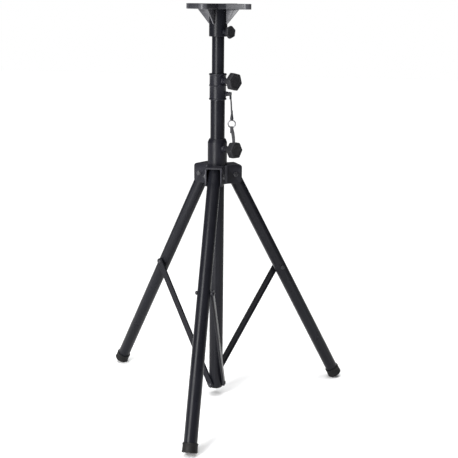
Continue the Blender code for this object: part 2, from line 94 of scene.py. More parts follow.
PLATE_TOP = 1.186
PLATE_CEILING = 1.183
ARM_HALF = 0.014
ARM_TAPER = 0.0012
ARM_REACH = 0.102
ARM_STATION = radians(71.6)
ARM_STATIONS = [ARM_STATION + k * pi / 2 for k in range(4)]
RING_Z = 0.847
RING_R = 0.0105
RING_WIRE = 0.0019
RING_STATION = radians(88)
RING_REACH = 0.042
CORD_R = 0.0024
STRAP_WIDTH = 0.010
STRAP_THICKNESS = 0.0016
STRAP_NECK_REACH = 0.0530            # where the strap's loop sits on the lower knob's neck
KNOB_STATION = radians(54.6)
UPPER_KNOB = (KNOB_STATION, 0.9714)
LOWER_KNOB = (KNOB_STATION, 0.7762)
TOP_KNOB = (KNOB_STATION, 1.108)

# Sizes that only the looks have
LEG_PIPE_WALL = 0.0016
HUB_BOLT_ACROSS = 0.0125
STRAP_RING_GAP = 0.0011              # from the ring's wire to the middle of the strap's end
STRAP_NECK_R = 0.0096

# Camera, with its place given from the pole's axis
VIEW_STATION = radians(9.6)
VIEW_DISTANCE = 2.6835
VIEW_HEIGHT = 1.2018
VIEW_PAN = radians(0.778)
VIEW_DOWN = radians(14.04)
VIEW_ROLL = radians(0.594)
VIEW_LENS = 72.66

UPRIGHT = Matrix.Translation((0, POLE_Y, 0))
SIDEWAYS = Matrix.Rotation(-pi / 2, 4, "X")


# ---------------------------------------------------------------- camera

def make_camera():
    data = bpy.data.cameras.new("camera")
    data.lens = VIEW_LENS
    data.sensor_width = 36
    data.clip_end = 50
    camera = bpy.data.objects.new("camera", data)
    bpy.context.scene.collection.objects.link(camera)
    place = (VIEW_DISTANCE * sin(VIEW_STATION), POLE_Y - VIEW_DISTANCE * cos(VIEW_STATION),
             VIEW_HEIGHT)
    turn = Matrix.Rotation(VIEW_STATION - VIEW_PAN, 4, "Z")
    pitch = Matrix.Rotation(pi / 2 - VIEW_DOWN, 4, "X")
    roll = Matrix.Rotation(VIEW_ROLL, 4, "Z")
    camera.matrix_world = Matrix.Translation(place) @ turn @ pitch @ roll
    bpy.context.scene.camera = camera


make_camera()


# ---------------------------------------------------------------- materials

class Shader:
    """Small wrapper that builds one Principled material."""

    def __init__(self, name, colour, roughness, metallic=0.0, specular=0.5):
        self.material = bpy.data.materials.new(name)
        self.material.use_nodes = True
        self.tree = self.material.node_tree
        self.shader = self.tree.nodes["Principled BSDF"]
        self.shader.inputs["Base Color"].default_value = (*colour, 1)
        self.shader.inputs["Roughness"].default_value = roughness
        self.shader.inputs["Metallic"].default_value = metallic
        self.shader.inputs["Specular IOR Level"].default_value = specular
        self.coords = self.node("ShaderNodeTexCoord").outputs["Object"]

    def node(self, kind, inputs=(), **settings):
        made = self.tree.nodes.new(kind)
        for key, value in settings.items():
            setattr(made, key, value)
        for key, value in dict(inputs).items():
            if isinstance(value, bpy.types.NodeSocket):
                self.tree.links.new(value, made.inputs[key])
            else:
                made.inputs[key].default_value = value
        return made

    def noise(self, scale, detail=4, rough=0.55, coords=None):
        made = self.node("ShaderNodeTexNoise", {
            "Vector": coords or self.coords, "Scale": scale, "Detail": detail,
            "Roughness": rough})
        return made.outputs["Fac"]

    def stretched(self, scale):
        made = self.node("ShaderNodeMapping", {"Vector": self.coords, "Scale": scale})
        return made.outputs["Vector"]

    def ramp(self, value, stops):
        made = self.node("ShaderNodeValToRGB", {"Fac": value})
        ends = made.color_ramp.elements
        while len(ends) < len(stops):
            ends.new(0.5)
        for end, (at, colour) in zip(ends, stops):
            end.position = at
            grey = isinstance(colour, (int, float))
            end.color = (colour, colour, colour, 1) if grey else (*colour, 1)
        return made.outputs["Color"]

    def mix(self, factor, a, b, kind="MIX"):
        made = self.node("ShaderNodeMix", data_type="RGBA", blend_type=kind)
        for socket, value in ((made.inputs["Factor"], factor), (made.inputs[6], a),
                              (made.inputs[7], b)):
            if isinstance(value, bpy.types.NodeSocket):
                self.tree.links.new(value, socket)
            elif isinstance(value, tuple):
                socket.default_value = (*value, 1)
            else:
                socket.default_value = value
        return made.outputs[2]

    def math(self, operation, a, b=0.0):
        made = self.node("ShaderNodeMath", {0: a, 1: b}, operation=operation)
        return made.outputs[0]

    def bump(self, height, strength, distance, under=None):
        inputs = {"Height": height, "Strength": strength, "Distance": distance}
        if under:
            inputs["Normal"] = under
        return self.node("ShaderNodeBump", inputs).outputs["Normal"]

    def link(self, **sockets):
        names = {"colour": "Base Color", "roughness": "Roughness", "normal": "Normal"}
        for key, value in sockets.items():
            self.tree.links.new(value, self.shader.inputs[names[key]])
        return self.material

    def edges(self, low=0.52, high=0.62):
        """White on outward edges."""
        point = self.node("ShaderNodeNewGeometry").outputs["Pointiness"]
        return self.ramp(point, [(low, 0.0), (high, 1.0)])

    def upward(self):
        """White on faces that look up, where dust settles."""
        normal = self.node("ShaderNodeNewGeometry").outputs["Normal"]
        z = self.node("ShaderNodeSeparateXYZ", {0: normal}).outputs["Z"]
        return self.ramp(z, [(0.55, 0.0), (1.0, 1.0)])


def powder_coat(name, dark, light, roughness, rub_and_highlight, level=0.15):
    """Semi-gloss powder coat: orange peel, slight mottling, edges lightened by rubbing and by
    painted highlight, a little dust on top.
    """
    s = Shader(name, dark, roughness, 0.0, level)
    mottle = s.ramp(s.noise(9, 5), [(0.35, dark), (0.72, light)])
    speck = s.ramp(s.noise(420, 2), [(0.62, 0.0), (0.78, 0.2)])
    colour = s.mix(speck, mottle, tuple(c * 2.0 for c in light))
    # Pale colour on outward edges: rubbed paint, and at the larger amounts a painted highlight
    # along the edges.
    rub_and_highlight_mask = s.math("MULTIPLY", s.edges(), s.noise(70, 3))
    colour = s.mix(rub_and_highlight_mask, colour, rub_and_highlight)
    dust = s.math("MULTIPLY", s.upward(), s.ramp(s.noise(38, 5), [(0.35, 0.0), (0.75, 0.10)]))
    colour = s.mix(dust, colour, (0.10, 0.10, 0.10))
    rough = s.ramp(s.noise(26, 4), [(0.3, roughness - 0.05), (0.7, roughness + 0.07)])
    peel = s.bump(s.noise(520, 2, 0.4), 0.16, 0.0005)
    fine = s.bump(s.noise(1900, 2), 0.10, 0.0003, peel)
    return s.link(colour=colour, roughness=rough, normal=fine)


def moulded(name, dark, light, roughness, grain=1500, rub_and_highlight=(0.07, 0.07, 0.075)):
    """Black moulded plastic with a fine spark texture, faint flow marks, and edges lightened by
    rubbing and by painted highlight.
    """
    s = Shader(name, dark, roughness, 0.0, 0.16)
    colour = s.ramp(s.noise(30, 4), [(0.3, dark), (0.75, light)])
    # Pale colour on outward edges: rubbing, and at the larger amounts a painted highlight along the
    # edges.
    rub_and_highlight_mask = s.math("MULTIPLY", s.edges(0.53, 0.66), s.noise(90, 3))
    colour = s.mix(rub_and_highlight_mask, colour, rub_and_highlight)
    flow = s.noise(1, 3, 0.5, s.stretched((40, 40, 6)))
    rough = s.ramp(flow, [(0.3, roughness - 0.07), (0.7, roughness + 0.07)])
    cells = s.node("ShaderNodeTexVoronoi", {"Vector": s.coords, "Scale": grain})
    spark = s.bump(cells.outputs["Distance"], 0.18, 0.0004)
    return s.link(colour=colour, roughness=rough, normal=spark)


def rubber():
    """Matt rubber, paler with dust down to the floor."""
    s = Shader("foot_rubber", (0.006, 0.006, 0.006), 0.62, 0.0, 0.16)
    colour = s.ramp(s.noise(45, 5), [(0.3, (0.0045, 0.0045, 0.0048)),
                                     (0.8, (0.0090, 0.0088, 0.0088))])
    z = s.node("ShaderNodeSeparateXYZ", {0: s.coords}).outputs["Z"]
    low = s.ramp(z, [(0.0, 1.0), (0.02, 0.0)])
    dust = s.math("MULTIPLY", low, s.ramp(s.noise(160, 4), [(0.4, 0.0), (0.8, 0.40)]))
    colour = s.mix(dust, colour, (0.06, 0.055, 0.050))
    rough = s.ramp(s.noise(120, 3), [(0.3, 0.50), (0.7, 0.70)])
    skin = s.bump(s.noise(1100, 3), 0.25, 0.0004)
    return s.link(colour=colour, roughness=rough, normal=skin)


def zinc(name, dark, light, roughness):
    """Bright plated steel: faint turning marks, cloudy passivation and fine scratches."""
    s = Shader(name, light, roughness, 1.0)
    colour = s.ramp(s.noise(120, 4), [(0.3, dark), (0.7, light)])
    bloom = s.ramp(s.noise(300, 3), [(0.55, 0.0), (0.8, 0.5)])
    colour = s.mix(bloom, colour, (0.42, 0.41, 0.38))
    scratch = s.noise(1, 2, 0.6, s.stretched((500, 500, 4000)))
    rough = s.ramp(scratch, [(0.3, roughness - 0.08), (0.7, roughness + 0.12)])
    marks = s.bump(scratch, 0.12, 0.0002)
    return s.link(colour=colour, roughness=rough, normal=marks)


def woven(name, dark, light, across, along):
    """Braid or webbing, by its repeats in metres on the "run" UVs, which are in metres too."""
    s = Shader(name, dark, 0.85, 0.0, 0.3)
    uv = s.node("ShaderNodeUVMap", uv_map="run").outputs["UV"]
    parts = s.node("ShaderNodeSeparateXYZ", {0: uv})
    u = s.math("MULTIPLY", parts.outputs["X"], 2 * pi / across)
    v = s.math("MULTIPLY", parts.outputs["Y"], 2 * pi / along)
    one = s.math("SINE", s.math("ADD", u, v))
    two = s.math("SINE", s.math("SUBTRACT", u, v))
    weave = s.math("MULTIPLY", s.math("ADD", one, two), 0.25)
    weave = s.math("ADD", weave, 0.5)
    colour = s.ramp(weave, [(0.2, dark), (0.8, light)])
    fuzz = s.noise(2600, 3)
    colour = s.mix(s.math("MULTIPLY", fuzz, 0.4), colour, tuple(c * 1.8 for c in light))
    normal = s.bump(weave, 0.6, 0.0005)
    normal = s.bump(fuzz, 0.2, 0.0002, normal)
    s.shader.inputs["Sheen Weight"].default_value = 0.25
    s.shader.inputs["Sheen Roughness"].default_value = 0.5
    return s.link(colour=colour, normal=normal)


def black_steel():
    """Black-finished fasteners, worn to a dull metal on their corners."""
    s = Shader("black_hardware", (0.022, 0.022, 0.026), 0.38, 0.55, 0.35)
    colour = s.ramp(s.noise(140, 4), [(0.3, (0.016, 0.016, 0.019)), (0.75, (0.040, 0.040, 0.045))])
    rub_and_highlight_mask = s.math("MULTIPLY", s.edges(0.53, 0.66), s.noise(260, 3))
    colour = s.mix(rub_and_highlight_mask, colour, (0.22, 0.22, 0.23))
    rough = s.ramp(s.noise(220, 3), [(0.3, 0.30), (0.7, 0.48)])
    turning = s.bump(s.noise(1, 2, 0.6, s.stretched((500, 500, 3500))), 0.10, 0.0002)
    return s.link(colour=colour, roughness=rough, normal=turning)


LOOKS = {
    "coated_tube": powder_coat("coated_tube", (0.0048, 0.0050, 0.0070), (0.0075, 0.0078, 0.0105),
                               0.30, rub_and_highlight=(0.016, 0.016, 0.020), level=0.13),
    # Its pale edge colour is partly rubbed paint and partly a painted highlight on the channels'
    # edges.
    "coated_casting": powder_coat("coated_casting", (0.0052, 0.0052, 0.0078),
                                  (0.0085, 0.0085, 0.0125), 0.36, rub_and_highlight=(0.065, 0.065, 0.078)),
    # Lighter copy of the casting's coat for the plate and its ribs: painted light on faces that
    # catch the light, and strong painted highlights on every edge.
    "plate": powder_coat("plate", (0.013, 0.013, 0.017), (0.024, 0.024, 0.030), 0.34,
                         rub_and_highlight=(0.36, 0.36, 0.38), level=0.30),
    # Its bright edge colour paints highlight lines along the collar's lips.
    "collar_plastic": moulded("collar_plastic", (0.0065, 0.0065, 0.0095),
                              (0.0105, 0.0105, 0.0145), 0.30, rub_and_highlight=(0.30, 0.30, 0.33)),
    "knob_plastic": moulded("knob_plastic", (0.0080, 0.0080, 0.0095), (0.0125, 0.0125, 0.0145),
                            0.52),
    "nylon": moulded("nylon", (0.016, 0.016, 0.016), (0.026, 0.026, 0.026), 0.50, grain=900),
    "foot_rubber": rubber(),
    "black_hardware": black_steel(),
    "zinc_hardware": zinc("zinc_hardware", (0.50, 0.50, 0.52), (0.68, 0.68, 0.70), 0.32),
    "ring_chrome": zinc("ring_chrome", (0.15, 0.15, 0.16), (0.24, 0.24, 0.25), 0.30),
    "cord_braid": woven("cord_braid", (0.010, 0.010, 0.012), (0.036, 0.036, 0.040), 0.0019,
                        0.0032),
    "strap_webbing": woven("strap_webbing", (0.009, 0.009, 0.011), (0.034, 0.034, 0.038), 0.0013,
                           0.0017),
}


# ---------------------------------------------------------------- frames

def station(azimuth):
    """Frame with X outwards along the azimuth, Y sideways and Z up."""
    return UPRIGHT @ Matrix.Rotation(azimuth - pi / 2, 4, "Z")


def leg_frame(azimuth):
    """Origin on the leg's pivot, -Z down the open leg."""
    pivot = Matrix.Translation((HUB_PIVOT_R, 0, HUB_PIVOT_Z))
    return station(azimuth) @ pivot @ Matrix.Rotation(-LEG_TILT, 4, "Y")


def brace_top():
    """Radius and height of the brace's upper pivot, legs open."""
    radius = HUB_PIVOT_R + BRACE_ON_LEG * sin(LEG_TILT)
    height = HUB_PIVOT_Z - BRACE_ON_LEG * cos(LEG_TILT)
    return radius, height


def brace_length():
    radius, height = brace_top()
    return sqrt(radius ** 2 + (height - BRACE_FOOT_Z) ** 2)


def brace_frame(azimuth):
    """Origin on the brace's lower pivot, +Z up the brace."""
    lean = asin(brace_top()[0] / brace_length())
    low = Matrix.Translation((0, 0, BRACE_FOOT_Z))
    return station(azimuth) @ low @ Matrix.Rotation(lean, 4, "Y")


def radial_frame(azimuth, height):
    """Origin on the pole's axis, +Z outwards along the azimuth."""
    lift = Matrix.Translation((0, 0, height))
    return station(azimuth) @ lift @ Matrix.Rotation(pi / 2, 4, "Y")


def around_pole(azimuth, reach, height):
    return Vector((reach * sin(azimuth), POLE_Y - reach * cos(azimuth), height))


# ---------------------------------------------------------------- mesh helpers

def rounded(profile, radius, closed=True, steps=3):
    """The profile with each corner replaced by a small curve."""
    points = [Vector(p) for p in profile]
    count = len(points)
    made = []
    for i, point in enumerate(points):
        if not closed and i in (0, count - 1):
            made.append(point)
            continue
        before = points[i - 1] - point
        after = points[(i + 1) % count] - point
        reach = min(radius, before.length * 0.45, after.length * 0.45)
        if reach < 1e-5 or before.angle(-after) < 0.02:
            made.append(point)
            continue
        start = point + before.normalized() * reach
        end = point + after.normalized() * reach
        for k in range(steps + 1):
            t = k / steps
            made.append(start * (1 - t) ** 2 + point * 2 * t * (1 - t) + end * t * t)
    return [tuple(p) for p in made]


def piece(name, work, frame_matrix, body, slot_name, nodes=(), smooth_angle=38, modifiers=()):
    """Bake a bmesh into an object in the shared frame that rides on a body."""
    bmesh.ops.remove_doubles(work, verts=work.verts, dist=1e-7)
    bmesh.ops.recalc_face_normals(work, faces=work.faces)
    bmesh.ops.transform(work, matrix=frame_matrix, verts=work.verts)
    mesh = bpy.data.meshes.new(name)
    work.to_mesh(mesh)
    work.free()
    obj = bpy.data.objects.new(name, mesh)
    bpy.context.scene.collection.objects.link(obj)
    for kind, settings in modifiers:
        modifier = obj.modifiers.new(kind.lower(), kind)
        for key, value in settings.items():
            setattr(modifier, key, value)
    if modifiers:
        bake(obj)
    obj.data.materials.clear()
    obj.data.materials.append(LOOKS[slot_name])
    obj.data.shade_smooth()
    obj.data.set_sharp_from_angle(angle=radians(smooth_angle))
    if body:
        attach(obj, body)
    if nodes:
        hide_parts(*nodes)
    return obj


def bake(obj):
    """Replace an object's mesh with its evaluated one, and drop the modifiers and their cutters."""
    bpy.context.view_layer.update()
    graph = bpy.context.evaluated_depsgraph_get()
    mesh = bpy.data.meshes.new_from_object(obj.evaluated_get(graph))
    cutters = [m.object for m in obj.modifiers if m.type == "BOOLEAN"]
    obj.modifiers.clear()
    obj.data = mesh
    for cutter in cutters:
        if cutter and cutter.name in bpy.data.objects:
            bpy.data.objects.remove(cutter, do_unlink=True)


def rings_to_bmesh(rings, loop_rings=False):
    """Skin a list of point rings of equal length, and close it by a loop or by capped ends."""
    work = bmesh.new()
    made = [[work.verts.new(p) for p in ring] for ring in rings]
    pairs = list(zip(made, made[1:]))
    if loop_rings:
        pairs.append((made[-1], made[0]))
    for a, b in pairs:
        for i in range(len(a)):
            j = (i + 1) % len(a)
            work.faces.new((a[i], a[j], b[j], b[i]))
    if not loop_rings:
        for ring in (made[0], made[-1]):
            work.faces.new(ring)
    return work


def lathe_mesh(profile, segments, closed):
    """Turned solid about +Z. A profile that isn't closed starts and ends on the axis."""
    turns = [2 * pi * i / segments for i in range(segments)]
    if closed:
        rings = [[(radius * cos(a), radius * sin(a), z) for a in turns] for radius, z in profile]
        return rings_to_bmesh(rings, loop_rings=True)
    work = bmesh.new()
    top = work.verts.new((0, 0, profile[0][1]))
    low = work.verts.new((0, 0, profile[-1][1]))
    made = []
    for radius, z in profile[1:-1]:
        made.append([work.verts.new((radius * cos(a), radius * sin(a), z)) for a in turns])
    for i in range(segments):
        j = (i + 1) % segments
        work.faces.new((top, made[0][i], made[0][j]))
        work.faces.new((low, made[-1][j], made[-1][i]))
        for a, b in zip(made, made[1:]):
            work.faces.new((a[i], b[i], b[j], a[j]))
    return work


def turned(name, profile, matrix, body, slot_name, nodes=(), fillet=0.0006, segments=64,
           closed=True, modifiers=()):
    """Turned piece whose profile, of radius and height, gets round corners."""
    work = lathe_mesh(rounded(profile, fillet, closed), segments, closed)
    return piece(name, work, matrix, body, slot_name, nodes, modifiers=modifiers)


def lofted(name, outline, profile, matrix, body, slot_name, nodes=(), fillet=0.0008,
           modifiers=(), steps=3, smooth_angle=38):
    """Solid whose outline, drawn in by the profile's first number, stands at its second."""
    shape = rounded(profile, fillet, False, steps)
    rings = [[(x, y, z) for x, y in outline(inset)] for inset, z in shape]
    work = rings_to_bmesh(rings)
    return piece(name, work, matrix, body, slot_name, nodes, smooth_angle, modifiers)


def cutter(work, matrix):
    """Hidden object for a boolean, dropped when the piece it cuts is baked."""
    bmesh.ops.recalc_face_normals(work, faces=work.faces)
    bmesh.ops.transform(work, matrix=matrix, verts=work.verts)
    mesh = bpy.data.meshes.new("cutter")
    work.to_mesh(mesh)
    work.free()
    obj = bpy.data.objects.new("cutter", mesh)
    bpy.context.scene.collection.objects.link(obj)
    obj.hide_render = True
    return obj


def cut_by(*cutters):
    """Boolean modifiers for piece()."""
    return [("BOOLEAN", {"operation": "DIFFERENCE", "object": c}) for c in cutters]


def round_cutter(radius, low, high, matrix, segments=48):
    profile = [(0, high), (radius, high), (radius, low), (0, low)]
    return cutter(lathe_mesh(profile, segments, False), matrix)


def prism(outline, low, high):
    return rings_to_bmesh([[(x, y, z) for x, y in outline] for z in (low, high)])


def prism_cutter(outline, low, high, matrix):
    return cutter(prism(outline, low, high), matrix)


def bevel(width, segments):
    """Bevel modifier for piece(), on corners only."""
    return ("BEVEL", {"width": width, "segments": segments, "limit_method": "ANGLE",
                      "angle_limit": radians(50)})


def arc(cx, cy, radius, start, end, count):
    turn = [start + (end - start) * i / (count - 1) for i in range(count)]
    return [(cx + radius * cos(a), cy + radius * sin(a)) for a in turn]


def stadium(x0, x1, half, count=13):
    return arc(x1, 0, half, -pi / 2, pi / 2, count) + arc(x0, 0, half, pi / 2, 3 * pi / 2, count)


def turn_points(points, angle):
    return [(x * cos(angle) - y * sin(angle), x * sin(angle) + y * cos(angle)) for x, y in points]


def pipe_profile(outer, inner, low, high):
    return [(outer, high), (outer, low), (inner, low), (inner, high)]


def hexagon(across):
    """Hexagon by its width across the flats, as an outline that can be drawn in."""
    def outline(inset):
        reach = (across / 2 - inset) / cos(pi / 6)
        return [(reach * cos(pi / 3 * i), reach * sin(pi / 3 * i)) for i in range(6)]
    return outline


# ---------------------------------------------------------------- lanyard

def heading(path, i):
    return (path[min(i + 1, len(path) - 1)] - path[max(i - 1, 0)]).normalized()


def tube_along(path, radius, sides):
    """Round cross-sections along a path, without twist."""
    rings = []
    side = Vector((1, 0, 0))
    for i, point in enumerate(path):
        ahead = heading(path, i)
        side = (side - ahead * side.dot(ahead)).normalized()
        other = ahead.cross(side)
        rings.append([point + radius * (side * cos(2 * pi * k / sides)
                                        + other * sin(2 * pi * k / sides)) for k in range(sides)])
    return rings


def mesh_with_run(rings, path, girth):
    """Capped skin over rings, with the "run" UVs in metres round and along it."""
    work = bmesh.new()
    layer = work.loops.layers.uv.new("run")
    made = [[work.verts.new(p) for p in ring] for ring in rings]
    lengths = [0.0]
    for a, b in zip(path, path[1:]):
        lengths.append(lengths[-1] + (b - a).length)
    sides = len(rings[0])
    for r in range(len(made) - 1):
        for k in range(sides):
            j = (k + 1) % sides
            face = work.faces.new((made[r][k], made[r][j], made[r + 1][j], made[r + 1][k]))
            across = (k, k + 1, k + 1, k)
            along = (r, r, r + 1, r + 1)
            for loop, a, b in zip(face.loops, across, along):
                loop[layer].uv = (girth[a], lengths[b])
    for ring in (made[0], made[-1]):
        work.faces.new(ring)
    bmesh.ops.recalc_face_normals(work, faces=work.faces)
    return work


def smooth_path(points, count):
    """Catmull-Rom curve through given points."""
    anchor = [Vector(p) for p in points]
    anchor = [anchor[0] * 2 - anchor[1]] + anchor + [anchor[-1] * 2 - anchor[-2]]
    spans = len(points) - 1
    made = []
    for i in range(count):
        at = spans * i / (count - 1)
        k = min(int(at), spans - 1)
        t = at - k
        a, b, c, d = anchor[k:k + 4]
        made.append(0.5 * ((2 * b) + (c - a) * t + (2 * a - 5 * b + 4 * c - d) * t * t
                           + (3 * b - a - 3 * c + d) * t ** 3))
    return made


def build_cord():
    """Braided cord from the pin's eye down to the ring."""
    pin_reach, below_pin, above_ring, sides = 0.038, 0.0063, 0.0004, 14
    top = around_pole(PIN_STATION, pin_reach, PIN_Z - below_pin)
    low = around_pole(RING_STATION, RING_REACH, RING_Z + (RING_R + RING_WIRE) + above_ring)
    bow = Vector((0.0009, -0.0006, 0))
    route = [top, top.lerp(low, 0.3) + bow, top.lerp(low, 0.65) + bow * 0.6, low]
    path = smooth_path(route, 26)
    rings = tube_along(path, CORD_R, sides)
    girth = [2 * pi * CORD_R * k / sides for k in range(sides + 1)]
    work = mesh_with_run(rings, path, girth)
    cord = piece("lanyard_braid", work, Matrix.Identity(4), None, "cord_braid",
                 ["lanyard_cord"])
    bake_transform(cord)
    crimp = [(0, 0.0052), (0.0026, 0.0052), (0.0032, 0.0035), (0.0032, -0.0035),
             (0.0026, -0.0052), (0, -0.0052)]
    wrap = [(0, 0.0260), (0.0026, 0.0255), (0.0031, 0.0150), (0.0048, 0.0040), (0.0052, 0.0005),
            (0.0042, -0.0022), (0, -0.0026)]
    knots = []
    for name, shape, at, body in (
            ("pin_crimp", crimp, top - Vector((0, 0, 0.004)), "safety_pin"),
            ("ring_wrap", wrap, low + Vector((0, 0, 0.001)), "pole")):
        knots.append(turned(f"lanyard_{name}", shape, Matrix.Translation(at), body,
                            "collar_plastic", (), 0.0014, 24, False))
    knots + [build_ring()]


def build_ring():
    """Closed ring of plated wire that faces the camera."""
    centre = around_pole(RING_STATION, RING_REACH, RING_Z)
    facing = Matrix.Translation(centre) @ Matrix.Rotation(VIEW_STATION, 4, "Z")
    facing = facing @ Matrix.Rotation(pi / 2, 4, "X")
    count, sides = 72, 14
    turns = [2 * pi * k / sides for k in range(sides)]
    rings = []
    for i in range(count):
        around = 2 * pi * i / count
        out = Vector((cos(around), sin(around), 0))
        rings.append([out * RING_R + RING_WIRE * (out * cos(a) + Vector((0, 0, 1)) * sin(a))
                      for a in turns])
    work = rings_to_bmesh(rings, loop_rings=True)
    return piece("lanyard_split_ring", work, facing, "pole", "ring_chrome", ["lanyard_ring"])


def ribbon(path, widths, width, thickness):
    """Flat strap cross-sections with round edges along a path, each wide along its vector."""
    rings = []
    half, thin = width / 2, thickness / 2
    section = [(half - thin + thin * cos(a), thin * sin(a))
               for a in [-pi / 2 + pi * k / 6 for k in range(7)]]
    section += [(-half + thin + thin * cos(a), thin * sin(a))
                for a in [pi / 2 + pi * k / 6 for k in range(7)]]
    for i, (point, wide) in enumerate(zip(path, widths)):
        ahead = heading(path, i)
        wide = (wide - ahead * wide.dot(ahead)).normalized()
        out = ahead.cross(wide)
        rings.append([point + wide * x + out * y for x, y in section])
    return rings, section


def section_girth(section):
    girth = [0.0]
    for a, b in zip(section, section[1:] + section[:1]):
        girth.append(girth[-1] + (Vector(b) - Vector(a)).length)
    return girth


def build_strap():
    """Webbing tail from the ring to the lower knob's neck, with a loop at each end."""
    ring_low = RING_Z - RING_R - RING_WIRE
    top = around_pole(RING_STATION, RING_REACH, ring_low - STRAP_RING_GAP)
    knob = radial_frame(*LOWER_KNOB)
    axis = (knob.to_3x3() @ Vector((0, 0, 1))).normalized()
    neck = knob @ Vector((0, 0, STRAP_NECK_REACH))
    end = knob @ Vector((0, STRAP_NECK_R, STRAP_NECK_REACH))
    count, twist = 30, 22            # points along the strap, and where its twist ends
    across = Vector((cos(VIEW_STATION), sin(VIEW_STATION), 0))
    side = knob.to_3x3() @ Vector((0, 1, 0))
    route = [top, top.lerp(end, 0.35) + side * 0.0048, top.lerp(end, 0.7) + side * 0.0054, end]
    path = smooth_path(route, count)
    widths = [across.lerp(axis, min(1, i / twist)) for i in range(count)]
    rings, section = ribbon(path, widths, STRAP_WIDTH, STRAP_THICKNESS)
    work = mesh_with_run(rings, path, section_girth(section))
    strap = piece("lanyard_webbing", work, Matrix.Identity(4), None, "strap_webbing",
                  ["lanyard_strap"])
    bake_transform(strap)
    loops = [build_neck_loop(neck, axis, side), build_ring_loop(top, across)]


def build_neck_loop(centre, axis, start):
    """Band of webbing once round the knob's neck."""
    other = axis.cross(start)
    spans = 40
    turns = [2 * pi * k / spans for k in range(spans + 1)]
    path = [centre + STRAP_NECK_R * (start * cos(a) + other * sin(a)) for a in turns]
    rings, section = ribbon(path, [axis] * len(path), STRAP_WIDTH * 0.9, STRAP_THICKNESS)
    work = mesh_with_run(rings, path, section_girth(section))
    return piece("lanyard_neck_loop", work, Matrix.Identity(4), "hub", "strap_webbing")


def build_ring_loop(top, across):
    """Short fold of webbing over the ring's lower wire, front to back."""
    depth = Vector((sin(VIEW_STATION), -cos(VIEW_STATION), 0))
    wire = top + Vector((0, 0, STRAP_RING_GAP + RING_WIRE))
    reach = RING_WIRE + STRAP_THICKNESS / 2 + 0.0002
    drops = [0.004 * k for k in (1, 2, 3, 4)]
    path = [wire + depth * reach * 0.7 - Vector((0, 0, drop)) for drop in reversed(drops)]
    path += [wire + depth * reach * cos(a) + Vector((0, 0, reach * sin(a)))
             for a in [pi * k / 12 for k in range(13)]]
    path += [wire - depth * reach * 0.7 - Vector((0, 0, drop)) for drop in drops]
    rings, section = ribbon(path, [across] * len(path), STRAP_WIDTH * 0.92, STRAP_THICKNESS * 0.9)
    work = mesh_with_run(rings, path, section_girth(section))
    return piece("lanyard_ring_loop", work, Matrix.Identity(4), "pole", "strap_webbing")


# ---------------------------------------------------------------- pole

def build_pole():
    body = "pole"
    tube_low, tube_top, plug_low, plug_top = 0.030, 0.985, 0.025, 0.070
    turned("pole_tube", pipe_profile(TUBE_R, TUBE_R - TUBE_WALL, tube_low, tube_top), UPRIGHT,
           body, "coated_tube", ["main_tube"], 0.0005, 80)
    bore = TUBE_R - TUBE_WALL - GAP
    plug = [(bore, plug_top), (bore, tube_low - GAP), (TUBE_R, tube_low - GAP),
            (TUBE_R, plug_low + 0.002), (TUBE_R - 0.002, plug_low), (0.010, plug_low),
            (0.010, plug_top)]
    turned("pole_end_plug", plug, UPRIGHT, body, "nylon", ["bottom_plug"])
    build_collar(body)
    for number, azimuth in enumerate(LEG_STATIONS, 1):
        side = station(azimuth) @ Matrix.Translation((0, 0, BRACE_FOOT_Z)) @ SIDEWAYS
        brace_pin(f"brace_foot_pin_{number}", TUBE_R + 0.0004, side, body,
                  f"brace_foot_screw_{number}")


def build_collar(body):
    """Collar with a lip at each end and one in the middle, its bush and its two bosses."""
    bore = TUBE_R + GAP
    lip = COLLAR_LIP
    throat = MAST_R + 0.0007
    profile = [
        (throat, COLLAR_TOP), (lip - 0.001, COLLAR_TOP), (lip, COLLAR_TOP - 0.001),
        (lip, 0.9865), (COLLAR_R, 0.9855), (COLLAR_R, 0.9595), (lip, 0.9585),
        (lip, 0.9560), (COLLAR_R, 0.9550), (COLLAR_R, 0.9205), (lip, 0.9195),
        (lip, COLLAR_LOW + 0.001), (lip - 0.001, COLLAR_LOW), (bore, COLLAR_LOW),
        (bore, COLLAR_CEILING), (throat, COLLAR_CEILING),
    ]
    turned("collar_body", profile, UPRIGHT, body, "collar_plastic", ["upper_collar"], 0.0008, 80)
    rim, inside, slide = TUBE_R - GAP, TUBE_R - TUBE_WALL - GAP, MAST_R + GAP
    high, shelf, low = COLLAR_CEILING - GAP, 0.9853, 0.950
    guide = [(rim, high), (rim, shelf), (inside, shelf), (inside, low), (slide, low),
             (slide, high)]
    turned("collar_guide", guide, UPRIGHT, body, "nylon", ["guide_bush"], 0.0003, 64)
    boss = [(0.0080, 0.0355), (0.0086, 0.0260), (0.0100, COLLAR_R - 0.0012),
            (0.0044, COLLAR_R - 0.0012), (0.0044, 0.0355)]
    turned("collar_knob_boss", boss, radial_frame(*UPPER_KNOB), body, "collar_plastic",
           ["upper_knob_boss"], 0.0006, 40)
    boss = [(0.0064, 0.0300), (0.0068, 0.0262), (0.0078, COLLAR_R - 0.0010),
            (0.0034, COLLAR_R - 0.0010), (0.0034, 0.0300)]
    turned("collar_pin_boss", boss, radial_frame(PIN_STATION, PIN_Z), body, "collar_plastic",
           ["pin_boss"], 0.0006, 40)


def brace_pin(name, start, matrix, body, node):
    """Pin through a brace's web: a domed head, a shank and a spacer behind the web."""
    head, shank, spacer = 0.0062, 0.0030, 0.0060
    outside, behind = BRACE_OUT + GAP, BRACE_OUT - BRACE_SKIN - GAP
    profile = [(0, BRACE_OUT + 0.0028), (0.0040, BRACE_OUT + 0.0028), (head, BRACE_OUT + 0.0012),
               (head, outside), (shank, outside), (shank, behind), (spacer, behind),
               (spacer, start), (0, start)]
    turned(name, profile, matrix, body, "black_hardware", [node], 0.0010, 32, False)


# ---------------------------------------------------------------- hub

